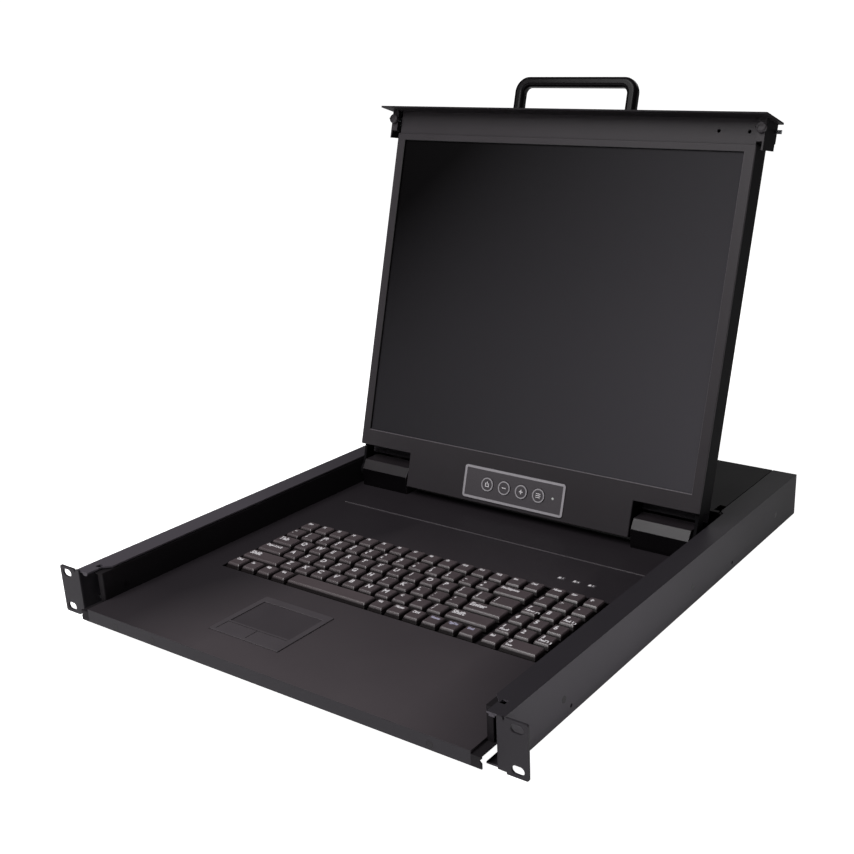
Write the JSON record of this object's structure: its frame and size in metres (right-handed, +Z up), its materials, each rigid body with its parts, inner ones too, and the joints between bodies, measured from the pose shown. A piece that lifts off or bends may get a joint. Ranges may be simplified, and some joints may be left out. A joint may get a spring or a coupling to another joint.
{
  "type": "rackmount lcd console drawer",
  "caption": "One-unit rack drawer with a keyboard, a touchpad and a fold-down flat screen on a sliding tray, with slotted rack ears, a carry handle and side latches.",
  "frame": {"origin": "centre of the rack slot pattern on the front face of the ears", "axes": "+X to the user's right, +Y towards the rear of the rack, +Z up"},
  "size_m": [0.4826, 0.5478, 0.4286],
  "materials": {
    "black_metal": "satin black paint",
    "black_plastic": "fine matte",
    "circuit_board": "satin",
    "clear_lens": "clear",
    "key_plastic": "satin",
    "label_film": "satin film",
    "lamp": "clear",
    "module_metal": "satin",
    "screen_glass": "gloss",
    "screw_steel": "black zinc",
    "touch_film": "fine matte",
    "zinc_steel": "bright zinc plate"
  },
  "bodies": {
    "chassis": {"left_side_rail": "black_metal", "right_side_rail": "black_metal", "left_rack_ear": "black_metal", "right_rack_ear": "black_metal", "left_outer_slide": "zinc_steel", "right_outer_slide": "zinc_steel", "rear_top_cover": "black_metal", "rear_floor": "black_metal", "rear_panel": "black_metal", "power_inlet": "black_plastic", "console_ports": "black_plastic", "main_board": "circuit_board", "power_supply": "circuit_board", "chassis_screws": "screw_steel"},
    "left_middle_member": {"left_middle_slide": "zinc_steel"},
    "right_middle_member": {"right_middle_slide": "zinc_steel"},
    "drawer": {"left_drawer_side": "black_metal", "right_drawer_side": "black_metal", "left_inner_slide": "zinc_steel", "right_inner_slide": "zinc_steel", "left_hinge_base": "black_metal", "right_hinge_base": "black_metal", "left_hinge_cover": "black_plastic", "right_hinge_cover": "black_plastic", "keyboard_tray": "black_metal", "drawer_base": "black_metal", "keyboard_plate": "black_metal", "touchpad_bezel": "black_plastic", "touchpad_surface": "touch_film", "indicator_lenses": "clear_lens", "drawer_screws": "screw_steel"},
    "lid": {"lid_bezel": "black_plastic", "lid_back_cover": "black_metal", "screen_glass": "screen_glass", "lcd_module": "module_metal", "display_board": "circuit_board", "button_board": "circuit_board", "osd_panel": "label_film", "osd_lamp": "lamp", "front_plate": "black_metal", "handle": "black_plastic", "lid_screws": "screw_steel", "left_latch_bracket": "black_metal", "right_latch_bracket": "black_metal", "left_hinge_arm": "black_metal", "right_hinge_arm": "black_metal"},
    "function_keys": {"function_keys": "key_plastic"},
    "number_keys": {"number_keys": "key_plastic"},
    "letter_keys": {"letter_keys": "key_plastic"},
    "front_row_keys": {"front_row_keys": "key_plastic"},
    "keypad_keys": {"keypad_keys": "key_plastic"},
    "space_bar": {"space_bar": "key_plastic"},
    "left_touch_button": {"left_touch_button": "black_plastic"},
    "right_touch_button": {"right_touch_button": "black_plastic"},
    "osd_button_1": {"osd_button_1": "black_plastic"},
    "osd_button_2": {"osd_button_2": "black_plastic"},
    "osd_button_3": {"osd_button_3": "black_plastic"},
    "osd_button_4": {"osd_button_4": "black_plastic"},
    "left_latch": {"left_latch_bolt": "zinc_steel"},
    "right_latch": {"right_latch_bolt": "zinc_steel"}
  },
  "joints": [
    {"name": "drawer_slide", "type": "slide", "parent": "chassis", "child": "drawer", "axis": [0, -1, 0], "range_m": [-0.0252, 0.42]},
    {"name": "left_middle_slide", "type": "slide", "parent": "chassis", "child": "left_middle_member", "axis": [0, -1, 0], "range_m": [-0.0127, 0.2101]},
    {"name": "right_middle_slide", "type": "slide", "parent": "chassis", "child": "right_middle_member", "axis": [0, -1, 0], "range_m": [-0.0127, 0.2101]},
    {"name": "lid_hinge", "type": "hinge", "parent": "drawer", "child": "lid", "pos_m": [0, 0.3515, 0.00757], "axis": [1, 0, 0], "range_deg": [-9, 106.08]},
    {"name": "function_keys_press", "type": "slide", "parent": "drawer", "child": "function_keys", "axis": [0, 0, -1], "range_m": [0, 0.0016], "stiffness_N_per_m": 3000, "springref_m": -0.002},
    {"name": "number_keys_press", "type": "slide", "parent": "drawer", "child": "number_keys", "axis": [0, 0, -1], "range_m": [0, 0.0016], "stiffness_N_per_m": 1500, "springref_m": -0.002},
    {"name": "letter_keys_press", "type": "slide", "parent": "drawer", "child": "letter_keys", "axis": [0, 0, -1], "range_m": [0, 0.0016], "stiffness_N_per_m": 4500, "springref_m": -0.002},
    {"name": "front_row_keys_press", "type": "slide", "parent": "drawer", "child": "front_row_keys", "axis": [0, 0, -1], "range_m": [0, 0.0016], "stiffness_N_per_m": 1500, "springref_m": -0.002},
    {"name": "keypad_keys_press", "type": "slide", "parent": "drawer", "child": "keypad_keys", "axis": [0, 0, -1], "range_m": [0, 0.0016], "stiffness_N_per_m": 1500, "springref_m": -0.002},
    {"name": "space_bar_press", "type": "slide", "parent": "drawer", "child": "space_bar", "axis": [0, 0, -1], "range_m": [0, 0.0016], "stiffness_N_per_m": 1500, "springref_m": -0.002},
    {"name": "left_touch_button_press", "type": "slide", "parent": "drawer", "child": "left_touch_button", "axis": [0, 0, -1], "range_m": [0, 0.0006], "stiffness_N_per_m": 1500, "springref_m": -0.002},
    {"name": "right_touch_button_press", "type": "slide", "parent": "drawer", "child": "right_touch_button", "axis": [0, 0, -1], "range_m": [0, 0.0006], "stiffness_N_per_m": 1500, "springref_m": -0.002},
    {"name": "osd_button_1_press", "type": "slide", "parent": "lid", "child": "osd_button_1", "axis": [0, 0.9609, -0.277], "range_m": [0, 0.0008], "stiffness_N_per_m": 1500, "springref_m": -0.002},
    {"name": "osd_button_2_press", "type": "slide", "parent": "lid", "child": "osd_button_2", "axis": [0, 0.9609, -0.277], "range_m": [0, 0.0008], "stiffness_N_per_m": 1500, "springref_m": -0.002},
    {"name": "osd_button_3_press", "type": "slide", "parent": "lid", "child": "osd_button_3", "axis": [0, 0.9609, -0.277], "range_m": [0, 0.0008], "stiffness_N_per_m": 1500, "springref_m": -0.002},
    {"name": "osd_button_4_press", "type": "slide", "parent": "lid", "child": "osd_button_4", "axis": [0, 0.9609, -0.277], "range_m": [0, 0.0008], "stiffness_N_per_m": 1500, "springref_m": -0.002},
    {"name": "left_latch_slide", "type": "slide", "parent": "lid", "child": "left_latch", "axis": [1, 0, 0], "range_m": [0, 0.0036], "stiffness_N_per_m": 400, "springref_m": -0.004},
    {"name": "right_latch_slide", "type": "slide", "parent": "lid", "child": "right_latch", "axis": [-1, 0, 0], "range_m": [0, 0.0036], "stiffness_N_per_m": 400, "springref_m": -0.004}
  ],
  "couplings": [
    {"joint": "left_middle_slide", "follows": "drawer_slide", "ratio": 0.5},
    {"joint": "right_middle_slide", "follows": "drawer_slide", "ratio": 0.5}
  ]
}
